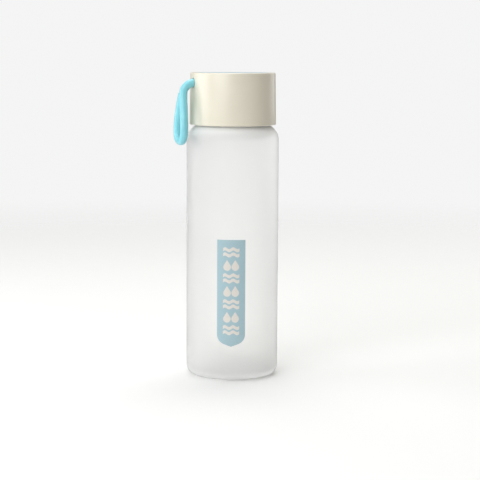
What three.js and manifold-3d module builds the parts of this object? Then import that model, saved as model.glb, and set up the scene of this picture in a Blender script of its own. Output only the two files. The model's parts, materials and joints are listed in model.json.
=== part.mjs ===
// Frosted glass water bottle with a tall screw cap and a moulded silicone carry strap.
// Sizes are in millimetres. +Z is up, the foot stands on z = 0 and the printed side faces -Y.
import * as THREE from 'three';
import { mergeVertices } from 'three/addons/utils/BufferGeometryUtils.js';
import Module from 'manifold-3d';

const wasm = await Module();
wasm.setup();

// ---- Driving sizes ----

// Clearance between pieces that touch or nearly touch.
const fit = 0.3;

// Glass bottle
const bodyDiameter = 65;
const bodyHeight = 167;            // foot to the start of the shoulder
const glassWall = 2.4;
const baseThickness = 5;
const footRadius = 6.2;            // outer corner at the foot
const heelRadius = 5;              // inner corner at the base
const puntDiameter = 40;           // shallow recess under the base
const puntRise = 1.2;
const puntSlope = 2.5;             // width of the slope down to the foot ring
const shoulderRadius = 11.2;
const neckDiameter = 44;
const neckWall = 2.6;
const neckHeight = 19;             // top of the shoulder to the rim
const neckFillet = 1.2;            // outer corner where the neck meets the shoulder
const throatRadius = 2;            // inner corner where the bore meets the shoulder
const rimRadius = 1;

// Screw thread, the same helix on the glass and in the liner
const threadLead = 5;
const threadTurns = 1.5;
const threadDepth = 1.3;
const threadRoot = 2.6;            // width of a ridge where it leaves its wall
const threadCrest = 1.2;
const threadBelowRim = 2.5;        // rim down to the upper end of the glass ridge
const threadSeat = 1.9;            // liner ridge below the glass ridge when closed
const threadClearance = 0.9;       // glass ridge to the liner's wall
const threadFade = 0.12;           // length of each tapered end, in turns

// Cap
const gasketThickness = 1.8;
const gasketOverhang = 1.4;        // gasket beyond the rim's inner and outer edges
const linerWall = 2;
const linerPlate = 1.6;
const linerStandoff = 2.2;         // liner wall to shell wall, bridged by the flange
const linerInset = 1;              // shell's lower edge up to the liner's flange
const linerGap = 0.6;              // least height of the liner's flange above the shoulder
const flangeThickness = 1.8;
const capWall = 2;
const capPlate = 1.2;
const capDraft = 0.5;              // the shell is narrower at the top by this, on each side
const capEdge = 0.8;
const skirtGap = 1.95;             // shell's lower edge above the glass shoulder
const discThickness = 0.7;
const discMargin = 3.6;            // rim of the shell left around the top disc
const discEdge = 0.2;

// Carry strap
const strapDiameter = 5.8;
const strapJointGap = 0.5;         // stem's cut end to the ball that the loop turns on
const strapBearing = 202.5;        // direction the strap leaves the cap, in degrees from +X
const headDiameter = 8.6;          // mushroom head that holds the strap in the shell
const headThickness = 2.4;
const headEdge = 0.6;
const headBelow = 1.5;             // liner's top up to the head
const headAbove = 0.5;             // head up to the shell's top plate

// The strap's route: out from the cap's side at the hole, sideways, and up from the hole's
// centre. The stem leaves the hole and starts to bend, flexes where the bend route begins, and
// parts into the two strands of the loop.
const stemRoute = [[-1.4, 0, 0], [0.4, 0, 0], [2.8, 0, -0.9], [5.2, 0, -2.8]];
const bendRoute = [[5.2, 0, -2.8], [6.75, 0, -5], [7.5, 0, -7.6], [7.6, 0, -8.6]];
const strandRoute = [
  [7.5, 1, -7.6], [7.9, 1.9, -10.8], [8.15, 2.8, -14], [8.3, 3.75, -17], [8.5, 4.7, -20.2],
  [8.7, 5.6, -24], [8.85, 6.25, -28], [9, 6.5, -32], [9.05, 6.2, -35.8], [9.1, 4.8, -38.6],
  [9.15, 2.6, -40], [9.2, -0.4, -40.4],
];

// Facets
const turnSegments = 48;
const strapSides = 10;
const stemSteps = 7;
const bendSteps = 5;
const strandSteps = 18;

// ---- Sizes worked out from those above ----

const bodyRadius = bodyDiameter / 2;
const neckRadius = neckDiameter / 2;
const boreRadius = neckRadius - neckWall;
const shoulderCentre = bodyRadius - shoulderRadius;
const rimHeight = bodyHeight + shoulderRadius + neckHeight;
const threadTop = rimHeight - threadBelowRim;
const threadBottom = threadTop - threadLead * threadTurns;

const gasketBottom = rimHeight + fit;
const gasketTop = gasketBottom + gasketThickness;
const linerBore = neckRadius + threadDepth + threadClearance;
const linerRadius = linerBore + linerWall;
const linerCeiling = gasketTop + fit;
const linerTop = linerCeiling + linerPlate;
const holeHeight = linerTop + headBelow + headDiameter / 2;
const capCeiling = holeHeight + headDiameter / 2 + headAbove;
const discSeat = capCeiling + capPlate;
const capTop = discSeat + fit + discThickness;

const skirtInner = linerRadius + linerStandoff;
const skirtRadius = skirtInner + capWall;
const topRadius = skirtRadius - capDraft;
const capBottom = shoulderHeightAt(skirtInner) + skirtGap;
const linerBottom = Math.max(capBottom + linerInset, shoulderHeightAt(linerBore) + linerGap);
const recessRadius = topRadius - discMargin;
const strapRadius = strapDiameter / 2;
const holeRadius = strapRadius + fit;

// ---- Helpers ----

// Height of the glass shoulder's outer surface at a distance from the axis.
function shoulderHeightAt(radius) {
  const along = THREE.MathUtils.clamp(radius - shoulderCentre, 0, shoulderRadius);
  return bodyHeight + Math.sqrt(shoulderRadius ** 2 - along ** 2);
}

// Radius of the shell's outer side at a height.
function capRadiusAt(height) {
  return skirtRadius - capDraft * (height - capBottom) / (capTop - capBottom);
}

// Radius of the shell's inner side at a height.
function shellInnerRadiusAt(height) {
  return capRadiusAt(height) - capWall;
}

// Points of an arc in a lathe profile, angles in degrees from the outward direction.
function arc(centreRadius, centreHeight, radius, from, to, steps) {
  const points = [];
  for (let i = 0; i <= steps; i += 1) {
    const angle = THREE.MathUtils.degToRad(from + (to - from) * i / steps);
    points.push([centreRadius + radius * Math.cos(angle), centreHeight + radius * Math.sin(angle)]);
  }
  return points;
}

// The S-shaped step from a shoulder arc to a neck or bore of a smaller radius.
function shoulderStep(arcRadius, cornerRadius, wallRadius, steps) {
  const cornerCentre = wallRadius + cornerRadius;
  const reach = arcRadius + cornerRadius;
  const offset = Math.max(0, cornerCentre - shoulderCentre);
  const meet = THREE.MathUtils.radToDeg(Math.acos(offset / reach));
  const cornerHeight = bodyHeight + Math.sqrt(reach ** 2 - offset ** 2);
  return [
    ...arc(shoulderCentre, bodyHeight, arcRadius, 0, meet, steps),
    ...arc(cornerCentre, cornerHeight, cornerRadius, 180 + meet, 180, 3),
  ];
}

// A closed geometry as a solid, facing outwards whichever way it was wound.
function toSolid(geometry) {
  const bare = geometry.clone();
  bare.deleteAttribute('normal');
  bare.deleteAttribute('uv');
  const merged = mergeVertices(bare, 1e-4);
  const { array } = merged.getAttribute('position');
  const corner = (index) => new THREE.Vector3().fromArray(array, 3 * index);
  const triangles = [];
  let volume = 0;
  for (let i = 0; i < merged.index.count; i += 3) {
    const [a, b, c] = [0, 1, 2].map((k) => merged.index.getX(i + k));
    if (a !== b && b !== c && c !== a) {
      triangles.push([a, b, c]);
      volume += corner(a).dot(corner(b).cross(corner(c)));
    }
  }
  const facing = volume < 0 ? triangles.map(([a, b, c]) => [a, c, b]) : triangles;
  return new wasm.Manifold(new wasm.Mesh({
    numProp: 3,
    vertProperties: new Float32Array(array),
    triVerts: new Uint32Array(facing.flat()),
  }));
}

// A profile of [radius, height] points turned about the vertical axis.
function turned(profile) {
  const points = profile.map(([radius, height]) => new THREE.Vector2(radius, height));
  return toSolid(new THREE.LatheGeometry(points, turnSegments).rotateX(Math.PI / 2));
}

// A profile that closes on itself, away from the axis.
function turnedRing(profile) {
  return turned([...profile, profile[0]]);
}

// A cylinder lying along +X from one distance to another, at a height.
function rod(radius, from, to, height) {
  const geometry = new THREE.CylinderGeometry(radius, radius, to - from, 24);
  geometry.rotateZ(-Math.PI / 2).translate((from + to) / 2, 0, height);
  return toSolid(geometry);
}

// A screw ridge: a straight bar of its section, bent round the axis as it climbs.
function screwRidge(wallRadius, direction, firstHeight) {
  const sunk = 0.6;
  const faded = -0.2;
  const section = new THREE.Shape([
    new THREE.Vector2(-sunk, -threadRoot / 2),
    new THREE.Vector2(threadDepth, -threadCrest / 2),
    new THREE.Vector2(threadDepth, threadCrest / 2),
    new THREE.Vector2(-sunk, threadRoot / 2),
  ]);
  const steps = threadTurns * turnSegments;
  const bar = new THREE.ExtrudeGeometry(section, { depth: threadTurns, steps, bevelEnabled: false });
  const position = bar.getAttribute('position');
  for (let i = 0; i < position.count; i += 1) {
    const turn = position.getZ(i);
    const depth = position.getX(i);
    const rise = THREE.MathUtils.smoothstep(Math.min(turn, threadTurns - turn), 0, threadFade);
    const grown = depth < 0 ? depth : THREE.MathUtils.lerp(faded, depth, rise);
    const radius = wallRadius + direction * grown;
    const angle = turn * 2 * Math.PI;
    const height = firstHeight + position.getY(i) + threadLead * turn;
    position.setXYZ(i, radius * Math.cos(angle), radius * Math.sin(angle), height);
  }
  return toSolid(bar);
}

// The strap's places in the cap's frame, where +X points out through the hole.
function strapPoint([out, side, up]) {
  return new THREE.Vector3(capRadiusAt(holeHeight) + out, side, holeHeight + up);
}

// A round silicone tube along a route, ending short of the route's end by a length.
function tube(route, steps, short = 0) {
  const section = new THREE.Shape().absarc(0, 0, strapRadius, 0, 2 * Math.PI);
  const whole = new THREE.CatmullRomCurve3(route.map(strapPoint));
  const share = 1 - short / whole.getLength();
  const places = Array.from({ length: steps + 1 }, (_, i) => whole.getPointAt(share * i / steps));
  const extrudePath = new THREE.CatmullRomCurve3(places);
  const options = { steps, extrudePath, curveSegments: strapSides };
  return toSolid(new THREE.ExtrudeGeometry(section, options));
}

// ---- Glass ----

function glassBottle() {
  const footCentre = bodyRadius - footRadius;
  const innerRadius = bodyRadius - glassWall;
  const heelCentre = innerRadius - heelRadius;
  const outside = [
    [0, puntRise],
    [puntDiameter / 2, puntRise],
    [puntDiameter / 2 + puntSlope, 0],
    ...arc(footCentre, footRadius, footRadius, -90, 0, 6),
    ...shoulderStep(shoulderRadius, neckFillet, neckRadius, 8),
    ...arc(neckRadius - rimRadius, rimHeight - rimRadius, rimRadius, 0, 90, 3),
  ];
  const inside = [
    ...arc(boreRadius + rimRadius, rimHeight - rimRadius, rimRadius, 90, 180, 3),
    ...shoulderStep(shoulderRadius - glassWall, throatRadius, boreRadius, 6).reverse(),
    ...arc(heelCentre, baseThickness + heelRadius, heelRadius, 0, -90, 4),
    [0, baseThickness],
  ];
  return turned([...outside, ...inside]).add(screwRidge(neckRadius, 1, threadBottom));
}

// ---- Cap ----

function sealGasket() {
  const inner = boreRadius - gasketOverhang;
  const outer = neckRadius + gasketOverhang;
  return turnedRing([
    [inner, gasketBottom], [outer, gasketBottom], [outer, gasketTop], [inner, gasketTop],
  ]);
}

function capLiner() {
  const flangeTop = linerBottom + flangeThickness;
  const flangeRadius = shellInnerRadiusAt(flangeTop) - fit;
  const cup = turned([
    [0, linerCeiling],
    [linerBore, linerCeiling],
    [linerBore, linerBottom],
    [flangeRadius, linerBottom],
    [flangeRadius, flangeTop],
    [linerRadius, flangeTop],
    [linerRadius, linerTop],
    [0, linerTop],
  ]);
  return cup.add(screwRidge(linerBore, -1, threadBottom - threadSeat));
}

function capShell() {
  const topInner = shellInnerRadiusAt(capCeiling);
  const cup = turned([
    [0, discSeat],
    [recessRadius, discSeat],
    [recessRadius, capTop],
    ...arc(topRadius - capEdge, capTop - capEdge, capEdge, 90, 0, 3),
    ...arc(skirtRadius - capEdge, capBottom + capEdge, capEdge, 0, -90, 3),
    [skirtInner, capBottom],
    [topInner, capCeiling],
    [0, capCeiling],
  ]);
  return cup.subtract(rod(holeRadius, topInner - capWall, skirtRadius + capWall, holeHeight));
}

function capTopDisc() {
  const radius = recessRadius - fit;
  return turned([
    [0, discSeat + fit],
    [radius, discSeat + fit],
    [radius, capTop - discEdge],
    [radius - discEdge, capTop],
    [0, capTop],
  ]);
}

// ---- Strap ----

// The head sits flat behind the shell's wall, clear of the wall's curve.
function strapAnchor() {
  const headRadius = headDiameter / 2;
  const wallInside = shellInnerRadiusAt(holeHeight) * Math.cos(Math.PI / turnSegments);
  const headFace = Math.sqrt(wallInside ** 2 - headRadius ** 2) - fit;
  const head = new THREE.LatheGeometry([
    new THREE.Vector2(0, 0),
    new THREE.Vector2(headRadius - headEdge, 0),
    new THREE.Vector2(headRadius, headEdge),
    new THREE.Vector2(headRadius, headThickness),
    new THREE.Vector2(0, headThickness),
  ], 24);
  head.rotateZ(-Math.PI / 2).translate(headFace - headThickness, 0, holeHeight);
  const inHead = headFace - headThickness / 2 - capRadiusAt(holeHeight);
  const shank = [[inHead, 0, 0], ...stemRoute];
  return toSolid(head).add(tube(shank, stemSteps, strapRadius + strapJointGap));
}

// The loop turns on a ball at its upper end, which clears the stem at any swing.
function carryLoop() {
  const ball = new THREE.SphereGeometry(strapRadius, 16, 10);
  ball.translate(...strapPoint(bendRoute[0]).toArray());
  const mirrored = strandRoute.map(([out, side, up]) => [out, -side, up]);
  return toSolid(ball)
    .add(tube(bendRoute, bendSteps))
    .add(tube(strandRoute, strandSteps))
    .add(tube(mirrored, strandSteps));
}

// ---- Assembly ----

const frostedGlass = new THREE.MeshStandardMaterial({ color: 0xe4e7e3, roughness: 0.6, metalness: 0 });
const creamPlastic = new THREE.MeshStandardMaterial({ color: 0xe9e4d6, roughness: 0.35, metalness: 0 });
const bluePlastic = new THREE.MeshStandardMaterial({ color: 0xa9d3de, roughness: 0.4, metalness: 0 });
const whitePlastic = new THREE.MeshStandardMaterial({ color: 0xf2f2ee, roughness: 0.5, metalness: 0 });
const clearSilicone = new THREE.MeshStandardMaterial({ color: 0xe8ebe8, roughness: 0.5, metalness: 0 });
const blueSilicone = new THREE.MeshStandardMaterial({ color: 0x7fd3de, roughness: 0.45, metalness: 0 });

function piece(name, solid, material) {
  const { numProp, vertProperties, triVerts } = solid.getMesh();
  const geometry = new THREE.BufferGeometry();
  geometry.setAttribute('position', new THREE.BufferAttribute(vertProperties, numProp));
  geometry.setIndex(new THREE.BufferAttribute(triVerts, 1));
  geometry.computeVertexNormals();
  const mesh = new THREE.Mesh(geometry, material);
  mesh.name = name;
  return mesh;
}

// The shell and strap are drawn with the hole facing +X and turned to their bearing together.
const strapSide = new THREE.Group();
strapSide.rotation.z = THREE.MathUtils.degToRad(strapBearing);
strapSide.add(
  piece('cap_shell', capShell(), creamPlastic),
  piece('strap_anchor', strapAnchor(), blueSilicone),
  piece('carry_loop', carryLoop(), blueSilicone),
);

const group = new THREE.Group();
group.add(
  piece('glass_body', glassBottle(), frostedGlass),
  piece('seal_gasket', sealGasket(), clearSilicone),
  piece('cap_liner', capLiner(), whitePlastic),
  piece('cap_top_disc', capTopDisc(), bluePlastic),
  strapSide,
);

export default group;
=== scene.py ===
import json
import math

import bpy
from mathutils import Matrix, Vector


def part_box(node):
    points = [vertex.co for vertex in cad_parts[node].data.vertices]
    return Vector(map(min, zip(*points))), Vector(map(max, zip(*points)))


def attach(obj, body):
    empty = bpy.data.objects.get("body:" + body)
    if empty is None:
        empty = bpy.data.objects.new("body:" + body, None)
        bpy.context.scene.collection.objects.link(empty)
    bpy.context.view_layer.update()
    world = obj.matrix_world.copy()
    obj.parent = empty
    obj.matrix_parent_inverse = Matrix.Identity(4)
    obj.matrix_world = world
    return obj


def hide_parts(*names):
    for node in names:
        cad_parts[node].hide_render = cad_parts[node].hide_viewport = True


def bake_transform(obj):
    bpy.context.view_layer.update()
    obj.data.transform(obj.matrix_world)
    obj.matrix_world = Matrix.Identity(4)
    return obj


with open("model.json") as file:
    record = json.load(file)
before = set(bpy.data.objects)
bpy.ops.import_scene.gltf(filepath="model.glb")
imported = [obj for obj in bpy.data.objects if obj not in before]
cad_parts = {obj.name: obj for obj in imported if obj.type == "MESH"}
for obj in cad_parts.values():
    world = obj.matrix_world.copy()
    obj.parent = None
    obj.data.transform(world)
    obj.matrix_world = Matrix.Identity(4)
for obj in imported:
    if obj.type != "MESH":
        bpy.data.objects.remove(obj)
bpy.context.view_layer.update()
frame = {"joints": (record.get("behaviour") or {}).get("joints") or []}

MM = 0.001

# ---- Sizes taken from the frame ----

glass_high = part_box("glass_body")[1]
shell_low, shell_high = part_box("cap_shell")
disc_low, disc_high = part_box("cap_top_disc")
liner_low, liner_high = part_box("cap_liner")
gasket_low, gasket_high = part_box("seal_gasket")
joints = {joint["name"]: joint for joint in frame["joints"]}

BODY_RADIUS = glass_high.x
RIM_HEIGHT = glass_high.z
CAP_TOP = shell_high.z
CAP_BOTTOM = shell_low.z
SKIRT_RADIUS = (shell_high.x - shell_low.x) / 2
LINER_TOP = liner_high.z
LINER_BOTTOM = liner_low.z
FLANGE_RADIUS = (liner_high.x - liner_low.x) / 2
DISC_RADIUS = (disc_high.x - disc_low.x) / 2
HOLE = Vector(joints["strap_swivel"]["pos_m"])
STRAP_OUT = Vector(joints["strap_swivel"]["axis"])
STRAP_SIDE = Vector((0, 0, 1)).cross(STRAP_OUT)

# ---- Sizes of the pieces that the frame's boxes don't give ----

BODY_HEIGHT = 167 * MM
GLASS_WALL = 2.4 * MM
BASE_THICKNESS = 5 * MM
FOOT_RADIUS = 6.2 * MM
HEEL_RADIUS = 5 * MM
SHOULDER_RADIUS = 11.2 * MM
NECK_RADIUS = 22 * MM
BORE_RADIUS = 19.4 * MM
THREAD_LEAD = 5 * MM
THREAD_TURNS = 1.5
THREAD_DEPTH = 1.3 * MM
THREAD_BOTTOM = RIM_HEIGHT - 10 * MM
THREAD_SEAT = 1.9 * MM
LINER_BORE = 24.2 * MM
LINER_RADIUS = 26.2 * MM
LINER_CEILING = LINER_TOP - 1.6 * MM
FLANGE_THICKNESS = 1.8 * MM
CAP_WALL = 2 * MM
CAP_DRAFT = 0.5 * MM
DISC_SEAT = CAP_TOP - 1 * MM
CAP_CEILING = DISC_SEAT - 1.2 * MM
STRAP_RADIUS = 2.9 * MM
GASKET_BORE = 18 * MM
HOLE_RADIUS = 3.2 * MM
HEAD_RADIUS = 4.3 * MM
HEAD_THICKNESS = 2.4 * MM


# ---- Camera ----

def add_camera():
    """Stands about a metre off, a little above the cap, looking slightly down."""
    distance, height, aside = 1.0548, 0.2290, 0.0055
    down, roll = math.radians(7.21), math.radians(0.28)
    forward = Vector((0, math.cos(down), -math.sin(down)))
    level = Vector((1, 0, 0))
    upright = level.cross(forward)
    right = math.cos(roll) * level + math.sin(roll) * upright
    up = math.cos(roll) * upright - math.sin(roll) * level
    lens = bpy.data.cameras.new("camera")
    lens.sensor_width = 36
    lens.lens = 112
    camera = bpy.data.objects.new("camera", lens)
    turn = Matrix((right, up, -forward)).transposed().to_4x4()
    camera.matrix_world = Matrix.Translation((aside, -distance, height)) @ turn
    bpy.context.scene.collection.objects.link(camera)
    bpy.context.scene.camera = camera


add_camera()


# ---- Workbench: the moves that most pieces are made with ----

def put_down():
    """Leaves edit mode with nothing selected."""
    if bpy.context.object and bpy.context.object.mode != "OBJECT":
        bpy.ops.object.mode_set(mode="OBJECT")
    bpy.ops.object.select_all(action="DESELECT")


def pick_up(piece):
    """Selects one piece and nothing else."""
    put_down()
    piece.select_set(True)
    bpy.context.view_layer.objects.active = piece


def arc(centre_radius, centre_height, radius, start, end, steps):
    """Points of a round stretch of an outline, angles in degrees."""
    angles = [math.radians(start + (end - start) * i / steps) for i in range(steps + 1)]
    return [(centre_radius + radius * math.cos(a), centre_height + radius * math.sin(a)) for a in angles]


def draw(name, outline):
    """Draws an outline point by point, across and up, and stays in edit mode."""
    put_down()
    bpy.ops.mesh.primitive_plane_add(size=1 * MM)
    piece = bpy.context.object
    piece.name = piece.data.name = name
    bpy.ops.object.mode_set(mode="EDIT")
    bpy.ops.mesh.merge(type="CENTER")
    bpy.ops.transform.translate(value=(outline[0][0], 0, outline[0][1]))
    for (x0, z0), (x1, z1) in zip(outline, outline[1:]):
        bpy.ops.mesh.extrude_vertices_move(TRANSFORM_OT_translate={"value": (x1 - x0, 0, z1 - z0)})
    return piece


def turned(name, outline, around=192):
    """Draws an outline and spins it about the bottle's axis into a closed skin."""
    piece = draw(name, outline)
    bpy.ops.mesh.select_all(action="SELECT")
    bpy.ops.mesh.spin(steps=around, angle=2 * math.pi, center=(0, 0, 0), axis=(0, 0, 1))
    bpy.ops.mesh.select_all(action="SELECT")
    bpy.ops.mesh.remove_doubles(threshold=0.001 * MM)
    bpy.ops.mesh.normals_make_consistent(inside=False)
    bpy.ops.object.mode_set(mode="OBJECT")
    return piece


def slab(name, outline, front, back):
    """Draws a closed outline, fills it and gives it depth from front to back along Y."""
    piece = draw(name, outline)
    bpy.ops.mesh.select_all(action="SELECT")
    bpy.ops.mesh.edge_face_add()
    bpy.ops.transform.translate(value=(0, front, 0))
    bpy.ops.mesh.extrude_region_move(TRANSFORM_OT_translate={"value": (0, back - front, 0)})
    bpy.ops.mesh.select_all(action="SELECT")
    bpy.ops.mesh.normals_make_consistent(inside=False)
    bpy.ops.object.mode_set(mode="OBJECT")
    return piece


def joined(name, pieces):
    """Several pieces as one object, under one name."""
    pick_up(pieces[0])
    for piece in pieces:
        piece.select_set(True)
    if len(pieces) > 1:
        bpy.ops.object.join()
    piece = bpy.context.object
    piece.name = piece.data.name = name
    return piece


def combine(piece, tool, operation):
    """Cuts or joins a piece with a tool piece, which is used up."""
    pick_up(piece)
    modifier = piece.modifiers.new("combine", "BOOLEAN")
    modifier.operation = operation
    modifier.solver = "EXACT"
    modifier.object = tool
    bpy.ops.object.modifier_apply(modifier=modifier.name)
    bpy.data.objects.remove(tool)


def smooth_by_angle(piece):
    """Shades a piece smooth, but for its edges of more than 35 degrees."""
    pick_up(piece)
    bpy.ops.object.shade_smooth_by_angle(angle=math.radians(35))


def screw_ridge(name, wall_radius, direction, first_height):
    """A thread ridge: its section is swept up a screw line and its ends are faded into the wall."""
    root, crest, sunk = 1.3 * MM, 0.6 * MM, 0.6 * MM
    ease_in, ease_out, around = 0.3 * MM, 0.1 * MM, 96
    lower = [(-sunk, -root), (THREAD_DEPTH - ease_in, -crest - ease_out), (THREAD_DEPTH, -crest + ease_in)]
    section = lower + [(x, -z) for x, z in reversed(lower)]
    outline = [(wall_radius + direction * x, first_height + z) for x, z in section]
    piece = draw(name, outline)
    bpy.ops.mesh.select_all(action="SELECT")
    bpy.ops.mesh.edge_face_add()
    bpy.ops.mesh.delete(type="ONLY_FACE")
    bpy.ops.object.mode_set(mode="OBJECT")
    sweep = piece.modifiers.new("sweep", "SCREW")
    sweep.angle = THREAD_TURNS * 2 * math.pi
    sweep.screw_offset = THREAD_TURNS * THREAD_LEAD
    sweep.steps = sweep.render_steps = round(THREAD_TURNS * around)
    sweep.use_smooth_shade = False
    bpy.ops.object.modifier_apply(modifier=sweep.name)
    fade_ends(piece, len(section), wall_radius, direction)
    bpy.ops.object.mode_set(mode="EDIT")
    bpy.ops.mesh.select_all(action="DESELECT")
    bpy.ops.mesh.select_non_manifold()
    bpy.ops.mesh.edge_face_add()
    bpy.ops.mesh.select_all(action="SELECT")
    bpy.ops.mesh.normals_make_consistent(inside=False)
    bpy.ops.object.mode_set(mode="OBJECT")
    return piece


def fade_ends(piece, ring_size, wall_radius, direction, rings=10):
    """Sinks the last rings of a ridge into its wall, the more so the nearer its end."""
    sunk = 0.2 * MM
    vertices = piece.data.vertices
    count = len(vertices) // ring_size
    for ring in range(count):
        near = min(ring, count - 1 - ring)
        if near >= rings:
            continue
        keep = math.sin(math.pi / 2 * near / rings)
        for vertex in vertices[ring * ring_size:(ring + 1) * ring_size]:
            flat = Vector((vertex.co.x, vertex.co.y, 0))
            height = direction * (flat.length - wall_radius)
            if height > 0:
                lowered = -sunk + (height + sunk) * keep
                vertex.co.xy = (flat.normalized() * (wall_radius + direction * lowered)).xy


# ---- Materials ----

GLASS_IOR = 1.36
NOISE_LOW = 0.3
NOISE_HIGH = 0.7


def new_material(name, colour, roughness, **sockets):
    """A principled material with its even values set on the shader's own sockets."""
    material = bpy.data.materials.new(name)
    material.use_nodes = True
    material.diffuse_color = (*colour, 1)
    shader = material.node_tree.nodes["Principled BSDF"]
    shader.inputs["Base Color"].default_value = (*colour, 1)
    shader.inputs["Roughness"].default_value = roughness
    for socket, value in sockets.items():
        shader.inputs[socket.replace("_", " ")].default_value = value
    return material, material.node_tree, shader


def node(tree, kind, **values):
    """Adds a node and sets its properties and unlinked inputs by name."""
    made = tree.nodes.new(kind)
    for key, value in values.items():
        if hasattr(made, key):
            setattr(made, key, value)
        else:
            made.inputs[key.replace("_", " ")].default_value = value
    return made


def feed(tree, source, target):
    """Links an output to an input, or sets the input to a plain number or colour."""
    if isinstance(source, bpy.types.NodeSocket):
        tree.links.new(source, target)
    elif isinstance(source, tuple):
        target.default_value = (*source, 1)
    else:
        target.default_value = source


def maths(tree, operation, first, second, **values):
    """One sum on two numbers, each an output or a plain number."""
    made = node(tree, "ShaderNodeMath", operation=operation, **values)
    feed(tree, first, made.inputs[0])
    feed(tree, second, made.inputs[1])
    return made.outputs[0]


def colour_between(tree, value, first, second):
    """Moves from one colour to another as a value goes from 0 to 1."""
    mix = node(tree, "ShaderNodeMix", data_type="RGBA")
    feed(tree, value, mix.inputs[0])
    feed(tree, first, mix.inputs[6])
    feed(tree, second, mix.inputs[7])
    return mix.outputs[2]


def speckle(tree, size, detail=2.0):
    """Noise on object coordinates with grains of about a size in metres."""
    place = node(tree, "ShaderNodeTexCoord")
    noise = node(tree, "ShaderNodeTexNoise", Scale=1 / size, Detail=detail)
    feed(tree, place.outputs["Object"], noise.inputs["Vector"])
    return noise.outputs["Fac"]


def blend_over(tree, value, start, end, first, second, curve="SMOOTHSTEP"):
    """Moves from one number to another as a value goes from start to end."""
    span = node(tree, "ShaderNodeMapRange", interpolation_type=curve)
    for socket, number in zip(("From Min", "From Max", "To Min", "To Max"), (start, end, first, second)):
        span.inputs[socket].default_value = number
    feed(tree, value, span.inputs["Value"])
    return span.outputs["Result"]


def vary(tree, value, low, high):
    """Spreads a noise value, which lies mostly round its middle, over a range."""
    return blend_over(tree, value, NOISE_LOW, NOISE_HIGH, low, high, curve="LINEAR")


def tint(tree, shader, value, first, second):
    """Moves the base colour between two close colours."""
    feed(tree, colour_between(tree, value, first, second), shader.inputs["Base Color"])


def grain(tree, shader, height, strength, distance):
    """Bump from a height value, with its depth in metres."""
    bump = node(tree, "ShaderNodeBump", Strength=strength, Distance=distance)
    feed(tree, height, bump.inputs["Height"])
    feed(tree, bump.outputs["Normal"], shader.inputs["Normal"])


def frosted_glass():
    """Acid-etched outside: soft and even, with a fine tooth, and less clear at the shoulder and foot.
    There its colour is also whitened as painted light, to brighten the shade under the cap and round the
    foot.
    """
    first, second, painted_light_white = (0.925, 0.925, 0.92), (0.94, 0.935, 0.93), (0.99, 0.985, 0.975)
    # The shoulder and foot amounts lower the transmission and also whiten the base colour as painted
    # light.
    clearest, shoulder_frost_and_painted_light, foot_frost_and_painted_light, painted_light_gain = 0.96, 0.8, 0.22, 3
    foot_low, foot_high, shoulder_high = 4 * MM, 30 * MM, BODY_HEIGHT + 10 * MM
    material, tree, shader = new_material("etched_glass", second, 0.6, IOR=GLASS_IOR)
    feed(tree, vary(tree, speckle(tree, 2 * MM), 0.57, 0.63), shader.inputs["Roughness"])
    grain(tree, shader, speckle(tree, 0.25 * MM, 3), 0.25, 0.02 * MM)
    place = node(tree, "ShaderNodeTexCoord")
    split = node(tree, "ShaderNodeSeparateXYZ")
    feed(tree, place.outputs["Object"], split.inputs[0])
    shoulder = blend_over(tree, split.outputs["Z"], BODY_HEIGHT, shoulder_high, 0, shoulder_frost_and_painted_light)
    foot = blend_over(tree, split.outputs["Z"], foot_low, foot_high, foot_frost_and_painted_light, 0)
    frost_and_painted_light = maths(tree, "ADD", shoulder, foot)
    feed(tree, maths(tree, "SUBTRACT", clearest, frost_and_painted_light), shader.inputs["Transmission Weight"])
    etched = colour_between(tree, vary(tree, speckle(tree, 9 * MM), 0, 1), first, second)
    # Painted light: the base colour turns whiter where the frost amount rises, to lift the shade that
    # falls under the cap and round the foot.
    painted_light_colour = colour_between(tree, maths(tree, "MULTIPLY", frost_and_painted_light, painted_light_gain), etched, painted_light_white)
    feed(tree, painted_light_colour, shader.inputs["Base Color"])
    return material


def clear_glass():
    """The unetched inside of the bottle."""
    material, tree, shader = new_material(
        "clear_glass", (0.985, 0.985, 0.98), 0.2, IOR=GLASS_IOR, Transmission_Weight=1)
    feed(tree, vary(tree, speckle(tree, 4 * MM), 0.17, 0.23), shader.inputs["Roughness"])
    return material


def satin_plastic(name, first, second, roughness, tooth):
    """Moulded plastic: near-even colour, faint flow marks and a fine moulded tooth."""
    material, tree, shader = new_material(
        name, second, roughness, IOR=1.5, Coat_Weight=0.5, Coat_Roughness=0.28)
    tint(tree, shader, vary(tree, speckle(tree, 14 * MM), 0, 1), first, second)
    sheen = vary(tree, speckle(tree, 3 * MM), roughness - 0.03, roughness + 0.03)
    feed(tree, sheen, shader.inputs["Roughness"])
    grain(tree, shader, speckle(tree, 0.5 * MM, 3), tooth, 0.02 * MM)
    return material


def silicone(name, first, second, roughness):
    """Soft silicone: a little light goes into it, and its skin is silky."""
    material, tree, shader = new_material(
        name, second, roughness, IOR=1.43, Subsurface_Weight=0.2, Coat_Weight=0.4,
        Coat_Roughness=0.3)
    shader.inputs["Subsurface Radius"].default_value = (0.6, 1.0, 1.0)
    shader.inputs["Subsurface Scale"].default_value = 1.2 * MM
    tint(tree, shader, vary(tree, speckle(tree, 5 * MM), 0, 1), first, second)
    sheen = vary(tree, speckle(tree, 1.5 * MM), roughness - 0.05, roughness + 0.05)
    feed(tree, sheen, shader.inputs["Roughness"])
    grain(tree, shader, speckle(tree, 0.35 * MM, 3), 0.15, 0.02 * MM)
    return material


def printed_ink(name, first, second):
    """Screen-printed ink: flat, with the faint pin-holes and tone of a pulled print."""
    material, tree, shader = new_material(name, second, 0.6)
    tint(tree, shader, vary(tree, speckle(tree, 0.8 * MM, 4), 0, 1), first, second)
    grain(tree, shader, speckle(tree, 0.3 * MM, 3), 0.2, 0.01 * MM)
    return material


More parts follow.
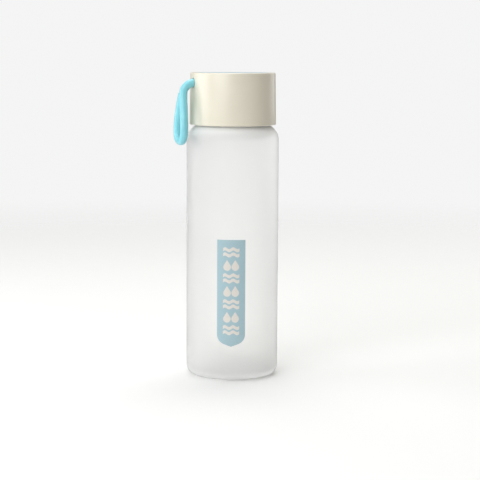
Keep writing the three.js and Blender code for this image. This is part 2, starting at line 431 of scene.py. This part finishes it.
FROSTED = frosted_glass()
INNER_GLASS = clear_glass()
CREAM = satin_plastic("cream_plastic", (0.795, 0.74, 0.615), (0.815, 0.76, 0.635), 0.34, 0.10)
BLUE = satin_plastic("blue_plastic", (0.62, 0.79, 0.86), (0.66, 0.82, 0.89), 0.38, 0.10)
WHITE = satin_plastic("white_plastic", (0.91, 0.91, 0.895), (0.93, 0.93, 0.915), 0.45, 0.15)
STRAP = silicone("cyan_silicone", (0.24, 0.64, 0.73), (0.28, 0.69, 0.77), 0.36)
SEAL = silicone("milky_silicone", (0.78, 0.80, 0.78), (0.84, 0.85, 0.83), 0.4)
BLUE_INK = printed_ink("blue_ink", (0.37, 0.52, 0.575), (0.40, 0.55, 0.61))
WHITE_INK = printed_ink("white_ink", (0.72, 0.68, 0.63), (0.76, 0.72, 0.67))


def finish_piece(piece, body, slot, *materials, replaced=()):
    """Gives a piece its materials and the body it rides on, and hides the nodes it stands for; the slot
    argument is not used.
    """
    piece.data.materials.clear()
    for material in materials:
        piece.data.materials.append(material)
    if body:
        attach(piece, body)
    if replaced:
        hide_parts(*replaced)


# ---- Carry strap ----

# The strap's route in millimetres: out from the cap's side at the hole, sideways, and up from
# the hole's centre.
STEM_ROUTE = [(-4, 0, 0), (-1.4, 0, 0), (0.4, 0, 0), (2.8, 0, -0.9), (5.2, 0, -2.8), (6.75, 0, -5)]
STRAND_ROUTE = [
    (7.5, 1, -7.6), (7.9, 1.9, -10.8), (8.15, 2.8, -14), (8.3, 3.75, -17), (8.5, 4.7, -20.2),
    (8.7, 5.6, -24), (8.85, 6.25, -28), (9, 6.5, -32), (9.05, 6.2, -35.8), (9.1, 4.8, -38.6),
    (9.15, 2.6, -40), (9.2, 0, -40.4)]
HEAD_START = (-5.3, 0, 0)


def strap_place(out, side, up):
    """A place on the strap, from millimetres out, sideways and up at the hole."""
    return HOLE + STRAP_OUT * (out * MM) + STRAP_SIDE * (side * MM) + Vector((0, 0, up * MM))


def smooth_route(places, steps=8):
    """A curve through every place, as close points."""
    ends = [2 * places[0] - places[1], *places, 2 * places[-1] - places[-2]]
    points = []
    for a, b, c, d in zip(ends, ends[1:], ends[2:], ends[3:]):
        for i in range(steps):
            t = i / steps
            points.append(0.5 * (2 * b + (c - a) * t + (2 * a - 5 * b + 4 * c - d) * t * t
                                 + (3 * b - a - 3 * c + d) * t ** 3))
    return points + [places[-1]]


def strap_tube(name, points, radius):
    """A round bar along a line of points, with closed ends."""
    line = bpy.data.curves.new(name, "CURVE")
    line.dimensions = "3D"
    line.bevel_depth = radius
    line.bevel_resolution = 8
    line.use_fill_caps = True
    spline = line.splines.new("POLY")
    spline.points.add(len(points) - 1)
    for place, point in zip(spline.points, points):
        place.co = (*point, 1)
    tube = bpy.data.objects.new(name, line)
    bpy.context.scene.collection.objects.link(tube)
    pick_up(tube)
    bpy.ops.object.convert(target="MESH")
    return bpy.context.object


def lay_along_stem(piece, place):
    """Turns an upright piece to the line of the strap's stem and puts it at a place."""
    turn = Vector((0, 0, 1)).rotation_difference(STRAP_OUT).to_matrix().to_4x4()
    piece.matrix_world = Matrix.Translation(place) @ turn


def strap_head():
    """The round button behind the cap's wall, spun flat and laid on the strap's line."""
    edge = 0.7 * MM
    head = turned("strap_head", [
        (0, 0), *arc(HEAD_RADIUS - edge, edge, edge, -90, 0, 4),
        *arc(HEAD_RADIUS - edge, HEAD_THICKNESS - edge, edge, 0, 90, 4), (0, HEAD_THICKNESS)], around=48)
    lay_along_stem(head, strap_place(*HEAD_START))
    pick_up(head)
    bpy.ops.object.transform_apply(location=True, rotation=True, scale=True)
    return head


def carry_strap():
    """One moulding: button, stem, moulded bend and loop, melted together and smoothed."""
    stem = [strap_place(*place) for place in STEM_ROUTE]
    near = [strap_place(*place) for place in STRAND_ROUTE]
    far = [strap_place(out, -side, up) for out, side, up in reversed(STRAND_ROUTE[:-1])]
    route = smooth_route(stem + near + far)
    tube = strap_tube("carry_strap", route, STRAP_RADIUS)
    strap = joined("carry_strap", [tube, strap_head()])
    melt = strap.modifiers.new("melt", "REMESH")
    melt.mode = "VOXEL"
    melt.voxel_size = 0.3 * MM
    bpy.ops.object.modifier_apply(modifier=melt.name)
    soften = strap.modifiers.new("soften", "SMOOTH")
    soften.factor = 0.5
    soften.iterations = 6
    bpy.ops.object.modifier_apply(modifier=soften.name)
    pick_up(strap)
    bpy.ops.object.shade_smooth()
    finish_piece(strap, None, "strap_silicone", STRAP, replaced=("strap_anchor", "carry_loop"))
    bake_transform(strap)


carry_strap()


# ---- Bottle ----

def shoulder_step(arc_radius, corner_radius, wall_radius, steps):
    """The S-shaped step from a shoulder arc in to a neck or bore."""
    centre = BODY_RADIUS - SHOULDER_RADIUS
    corner_centre = wall_radius + corner_radius
    reach = arc_radius + corner_radius
    meet = math.degrees(math.acos((corner_centre - centre) / reach))
    corner_height = BODY_HEIGHT + reach * math.sin(math.radians(meet))
    return [*arc(centre, BODY_HEIGHT, arc_radius, 0, meet, steps),
            *arc(corner_centre, corner_height, corner_radius, 180 + meet, 180, 6)]


def glass_bottle():
    """Foot, punt, wall, shoulder, neck and rim as one closed skin with its thread on."""
    rim, neck_corner, bore_corner = 1 * MM, 1.2 * MM, 2 * MM
    punt = [(0, 1.2 * MM), (18 * MM, 1.2 * MM), (20 * MM, 1.1 * MM), (22 * MM, 0.25 * MM)]
    foot_ring = [(23 * MM, 0)]
    heel_centre = BODY_RADIUS - GLASS_WALL - HEEL_RADIUS
    outside = [*punt, *foot_ring,
               *arc(BODY_RADIUS - FOOT_RADIUS, FOOT_RADIUS, FOOT_RADIUS, -90, 0, 18),
               *shoulder_step(SHOULDER_RADIUS, neck_corner, NECK_RADIUS, 24),
               *arc(NECK_RADIUS - rim, RIM_HEIGHT - rim, rim, 0, 90, 6)]
    inside = [*arc(BORE_RADIUS + rim, RIM_HEIGHT - rim, rim, 90, 180, 6),
              *reversed(shoulder_step(SHOULDER_RADIUS - GLASS_WALL, bore_corner, BORE_RADIUS, 20)),
              *arc(heel_centre, BASE_THICKNESS + HEEL_RADIUS, HEEL_RADIUS, 0, -90, 12),
              (0, BASE_THICKNESS)]
    bottle = turned("glass_bottle", outside + inside)
    combine(bottle, screw_ridge("neck_thread", NECK_RADIUS, 1, THREAD_BOTTOM), "UNION")
    smooth_by_angle(bottle)
    finish_piece(bottle, "bottle", "frosted_glass", FROSTED, INNER_GLASS, replaced=("glass_body",))
    clear_the_inside(bottle)


def clear_the_inside(bottle):
    """Gives the unetched glass to the faces that look in at the drink."""
    slack, bottom_depth, least_lean = 0.01 * MM, 1 * MM, 0.2
    for face in bottle.data.polygons:
        height, across = face.center.z, face.center.xy
        wall = face.normal.xy.dot(across) < -least_lean * across.length
        bottom = face.normal.z > 0.5 and height < BASE_THICKNESS + bottom_depth
        face.material_index = int(height > BASE_THICKNESS - slack and (wall or bottom))


glass_bottle()


# ---- Cap ----

def shell_radius(height):
    """The cap's side leans in a little towards its top."""
    return SKIRT_RADIUS - CAP_DRAFT * (height - CAP_BOTTOM) / (CAP_TOP - CAP_BOTTOM)


def cap_shell():
    """The cream cup with its top recess and the strap's hole, whose lip is eased."""
    edge, recess_edge, inner_edge, disc_gap = 0.8 * MM, 0.25 * MM, 0.2 * MM, 0.3 * MM
    recess, top = DISC_RADIUS + disc_gap, shell_radius(CAP_TOP)
    shell = turned("cap_cup", [
        (0, DISC_SEAT), (recess, DISC_SEAT), (recess, CAP_TOP - recess_edge),
        (recess + recess_edge, CAP_TOP),
        *arc(top - edge, CAP_TOP - edge, edge, 90, 0, 8),
        *arc(SKIRT_RADIUS - edge, CAP_BOTTOM + edge, edge, 0, -90, 8),
        (SKIRT_RADIUS - CAP_WALL + inner_edge, CAP_BOTTOM),
        (SKIRT_RADIUS - CAP_WALL, CAP_BOTTOM + inner_edge),
        (shell_radius(CAP_CEILING) - CAP_WALL, CAP_CEILING), (0, CAP_CEILING)])
    combine(shell, hole_drill(shell_radius(HOLE.z)), "DIFFERENCE")
    smooth_by_angle(shell)
    finish_piece(shell, "cap", "cap_cream", CREAM, replaced=("cap_shell",))


def hole_drill(outside):
    """The drill for the strap's hole, which flares where it meets the cap's side."""
    lip, start, end = 0.5 * MM, outside - 6 * MM, outside + 3 * MM
    drill = turned("drill", [
        (0, start), (HOLE_RADIUS, start), (HOLE_RADIUS, outside - lip),
        *arc(HOLE_RADIUS + lip, outside - lip, lip, 180, 90, 5),
        (HOLE_RADIUS + lip, end), (0, end)], around=64)
    lay_along_stem(drill, (0, 0, HOLE.z))
    return drill


def cap_inlay():
    """The light-blue disc let into the cap's top, with an eased edge."""
    edge = 0.2 * MM
    inlay = turned("cap_inlay", [
        (0, disc_low.z), (DISC_RADIUS, disc_low.z),
        *arc(DISC_RADIUS - edge, CAP_TOP - edge, edge, 0, 90, 4), (0, CAP_TOP)])
    smooth_by_angle(inlay)
    finish_piece(inlay, "cap", "cap_blue", BLUE, replaced=("cap_top_disc",))


def inner_liner():
    """The white screw cup that grips the glass, with its flange and thread."""
    edge = 0.4 * MM
    flange_top = LINER_BOTTOM + FLANGE_THICKNESS
    liner = turned("inner_liner", [
        (0, LINER_CEILING), *arc(LINER_BORE - edge, LINER_CEILING - edge, edge, 90, 0, 4),
        (LINER_BORE, LINER_BOTTOM), (FLANGE_RADIUS - edge, LINER_BOTTOM),
        *arc(FLANGE_RADIUS - edge, LINER_BOTTOM + edge, edge, -90, 0, 4),
        (FLANGE_RADIUS, flange_top), *arc(LINER_RADIUS + edge, flange_top + edge, edge, 270, 180, 4),
        *arc(LINER_RADIUS - edge, LINER_TOP - edge, edge, 0, 90, 4), (0, LINER_TOP)])
    combine(liner, screw_ridge("liner_thread", LINER_BORE, -1, THREAD_BOTTOM - THREAD_SEAT), "UNION")
    smooth_by_angle(liner)
    finish_piece(liner, "cap", "liner_white", WHITE, replaced=("cap_liner",))


def rim_gasket():
    """The silicone ring between the rim and the liner."""
    inner, outer = GASKET_BORE, (gasket_high.x - gasket_low.x) / 2
    low, high, edge = gasket_low.z, gasket_high.z, 0.4 * MM
    corners = [*arc(outer - edge, low + edge, edge, -90, 0, 4),
               *arc(outer - edge, high - edge, edge, 0, 90, 4),
               *arc(inner + edge, high - edge, edge, 90, 180, 4),
               *arc(inner + edge, low + edge, edge, 180, 270, 4)]
    gasket = turned("rim_gasket", corners + corners[:1])
    smooth_by_angle(gasket)
    finish_piece(gasket, "seal", "seal_silicone", SEAL, replaced=("seal_gasket",))


cap_shell()
cap_inlay()
inner_liner()
rim_gasket()


# ---- Printed panel ----

PANEL_HALF_WIDTH = 9.9 * MM
PANEL_TOP = 99.6 * MM
PANEL_CORNER = 7 * MM
PANEL_CORNER_HEIGHT = 33.2 * MM
PANEL_ASIDE = 0.5 * MM
INK_THICKNESS = 0.03 * MM
MARKS_WIDTH = 11.4 * MM
MARKS_TOP = 94.6 * MM
MARK_ROWS = 7
ROW_GAP = 1.7 * MM
WAVE_THICKNESS = 2.3 * MM
WAVE_SWELL = 0.65 * MM
WAVE_GAP = 1.3 * MM
DROP_LENGTH = 7.6 * MM
DROP_BELLY = 0.35 * DROP_LENGTH
CUTTER_REACH = 5 * MM


def panel_outline():
    """Flat top, straight sides, and a round foot that comes to a soft point."""
    centre, bend = PANEL_HALF_WIDTH - PANEL_CORNER, 70
    side = arc(centre, PANEL_CORNER_HEIGHT, PANEL_CORNER, 0, -bend, 10)
    last_across, last_up = side[-1]
    tip = (0, last_up - last_across / math.tan(math.radians(bend)))
    right = [(PANEL_HALF_WIDTH, PANEL_TOP), *side]
    left = [(-across, up) for across, up in reversed(right)]
    return right + [tip] + left


def wave_outline(middle):
    """A band that rises and falls twice across the column of marks."""
    steps = 32
    across = [MARKS_WIDTH * (i / steps - 0.5) for i in range(steps + 1)]
    line = [middle + WAVE_SWELL * math.sin(4 * math.pi * x / MARKS_WIDTH) for x in across]
    lower = [(x, z - WAVE_THICKNESS / 2) for x, z in zip(across, line)]
    upper = [(x, z + WAVE_THICKNESS / 2) for x, z in zip(across, line)]
    return lower + upper[::-1]


def drop_outline(across, middle):
    """A falling drop: a round belly and a pointed top."""
    centre = middle - DROP_LENGTH / 2 + DROP_BELLY
    lean = math.degrees(math.acos(DROP_BELLY / (DROP_LENGTH - DROP_BELLY)))
    belly = arc(across, centre, DROP_BELLY, 90 + lean - 360, 90 - lean, 24)
    return [*belly, (across, middle + DROP_LENGTH / 2)]


def wave_and_drop_tools():
    """Cutters for a column of rows: two waves, then two drops, and so on down the panel."""
    wave_pitch = WAVE_THICKNESS + WAVE_GAP
    waves_height = WAVE_THICKNESS + wave_pitch + 2 * WAVE_SWELL
    top, tools = MARKS_TOP, []
    for row in range(MARK_ROWS):
        if row % 2:
            middle = top - DROP_LENGTH / 2
            outlines = [drop_outline(side * MARKS_WIDTH / 4, middle) for side in (-1, 1)]
            top -= DROP_LENGTH + ROW_GAP
        else:
            first = top - WAVE_SWELL - WAVE_THICKNESS / 2
            outlines = [wave_outline(first), wave_outline(first - wave_pitch)]
            top -= waves_height + ROW_GAP
        tools += [slab("mark", outline, -CUTTER_REACH, CUTTER_REACH) for outline in outlines]
    return joined("marks", tools)


def ink_sheet(name):
    """A flat sheet of ink in front of the bottle, fine enough across to be bent round it."""
    width, low, high = 24 * MM, 20 * MM, 104 * MM
    put_down()
    bpy.ops.mesh.primitive_grid_add(x_subdivisions=96, y_subdivisions=1, size=1,
                                    location=(0, 0, (low + high) / 2), rotation=(math.pi / 2, 0, 0))
    sheet = bpy.context.object
    sheet.name = sheet.data.name = name
    sheet.scale = (width, high - low, 1)
    bpy.ops.object.transform_apply(location=True, rotation=True, scale=True)
    bpy.ops.object.mode_set(mode="EDIT")
    bpy.ops.mesh.select_all(action="SELECT")
    bpy.ops.mesh.extrude_region_move(TRANSFORM_OT_translate={"value": (0, INK_THICKNESS, 0)})
    bpy.ops.mesh.select_all(action="SELECT")
    bpy.ops.mesh.normals_make_consistent(inside=False)
    bpy.ops.object.mode_set(mode="OBJECT")
    return sheet


def lay_round_glass(sheet):
    """Bends a flat sheet in front of the bottle round its body."""
    proud = 0.7 * INK_THICKNESS
    for vertex in sheet.data.vertices:
        across, depth, up = vertex.co
        radius = BODY_RADIUS + proud - depth
        angle = (across - PANEL_ASIDE) / BODY_RADIUS
        vertex.co = (radius * math.sin(angle), -radius * math.cos(angle), up)
    sheet.data.update()


def printed_panel():
    """The blue panel with its marks left open, laid round the glass."""
    sheet = ink_sheet("printed_panel")
    panel_shape = slab("panel_shape", panel_outline(), -CUTTER_REACH, CUTTER_REACH)
    combine(sheet, panel_shape, "INTERSECT")
    combine(sheet, wave_and_drop_tools(), "DIFFERENCE")
    lay_round_glass(sheet)
    finish_piece(sheet, "bottle", "label_ink", BLUE_INK)


def printed_marks():
    """The off-white waves and drops that fill the openings of the panel."""
    sheet = ink_sheet("printed_marks")
    combine(sheet, wave_and_drop_tools(), "INTERSECT")
    lay_round_glass(sheet)
    finish_piece(sheet, "bottle", "label_marks", WHITE_INK)


printed_panel()
printed_marks()


# ---- Floor, room and light ----

SEEN_ROOM = 0.91
LIGHT_ROOM = 0.16
COOL_LIGHT = (0.95, 0.98, 1.0)
AIM_HEIGHT = 0.12


def pale_floor():
    """A pale floor that fades into the room a little way from the bottle, on every side."""
    fade_start, fade_end, sunk = 0.3, 1.3, 0.2 * MM
    put_down()
    bpy.ops.mesh.primitive_circle_add(vertices=96, radius=3, fill_type="NGON", location=(0, 0, -sunk))
    floor = bpy.context.object
    floor.name = "floor"
    material, tree, shader = new_material("pale_floor", (0.86, 0.86, 0.85), 0.8)
    tint(tree, shader, speckle(tree, 0.5), (0.85, 0.85, 0.84), (0.87, 0.87, 0.86))
    place = node(tree, "ShaderNodeTexCoord")
    reach = node(tree, "ShaderNodeVectorMath", operation="LENGTH")
    clear = node(tree, "ShaderNodeBsdfTransparent")
    mix = node(tree, "ShaderNodeMixShader")
    feed(tree, place.outputs["Object"], reach.inputs[0])
    feed(tree, blend_over(tree, reach.outputs["Value"], fade_start, fade_end, 0, 1), mix.inputs[0])
    feed(tree, shader.outputs[0], mix.inputs[1])
    feed(tree, clear.outputs[0], mix.inputs[2])
    feed(tree, mix.outputs[0], tree.nodes["Material Output"].inputs["Surface"])
    floor.data.materials.append(material)


def studio_room():
    """An even pale room that looks brighter, straight on and through glass, than the light it gives."""
    world = bpy.data.worlds.new("room")
    world.use_nodes = True
    tree = world.node_tree
    lit = tree.nodes["Background"]
    lit.inputs["Color"].default_value = (1.0, 0.96, 0.86, 1)
    lit.inputs["Strength"].default_value = LIGHT_ROOM
    seen = node(tree, "ShaderNodeBackground", Strength=SEEN_ROOM)
    seen.inputs["Color"].default_value = (1, 1, 1, 1)
    path = node(tree, "ShaderNodeLightPath")
    mix = node(tree, "ShaderNodeMixShader")
    looking = maths(tree, "MAXIMUM", path.outputs["Is Camera Ray"], path.outputs["Transmission Depth"],
                    use_clamp=True)
    feed(tree, maths(tree, "SUBTRACT", looking, path.outputs["Is Diffuse Ray"]), mix.inputs[0])
    feed(tree, lit.outputs[0], mix.inputs[1])
    feed(tree, seen.outputs[0], mix.inputs[2])
    feed(tree, mix.outputs[0], tree.nodes["World Output"].inputs["Surface"])
    bpy.context.scene.world = world


def add_light(name, turn, rise, distance, size, power, colour=(1, 1, 1), through_glass=True):
    """A soft square light aimed at the bottle, from a turn right of the front and a rise, in degrees."""
    target = Vector((0, 0, AIM_HEIGHT))
    turn, rise = math.radians(turn), math.radians(rise)
    away = Vector((math.sin(turn) * math.cos(rise), -math.cos(turn) * math.cos(rise), math.sin(rise)))
    lamp = bpy.data.lights.new(name, "AREA")
    lamp.size = size
    lamp.energy = power
    lamp.color = colour
    light = bpy.data.objects.new(name, lamp)
    aim = (-away).to_track_quat("-Z", "Y").to_matrix().to_4x4()
    light.matrix_world = Matrix.Translation(target + away * distance) @ aim
    light.visible_transmission = through_glass
    bpy.context.scene.collection.objects.link(light)


pale_floor()
studio_room()
add_light("key", turn=-30, rise=25, distance=1.3, size=0.9, power=9.3, colour=COOL_LIGHT)
add_light("side", turn=-92, rise=14, distance=1.2, size=1.0, power=7, colour=COOL_LIGHT,
          through_glass=False)
add_light("rim", turn=134, rise=15, distance=1.2, size=0.7, power=2)
add_light("top", turn=0, rise=88, distance=1.5, size=1.4, power=12.7)
add_light("back", turn=180, rise=60, distance=1.6, size=1.2, power=11)
bpy.context.scene.view_settings.view_transform = "Standard"
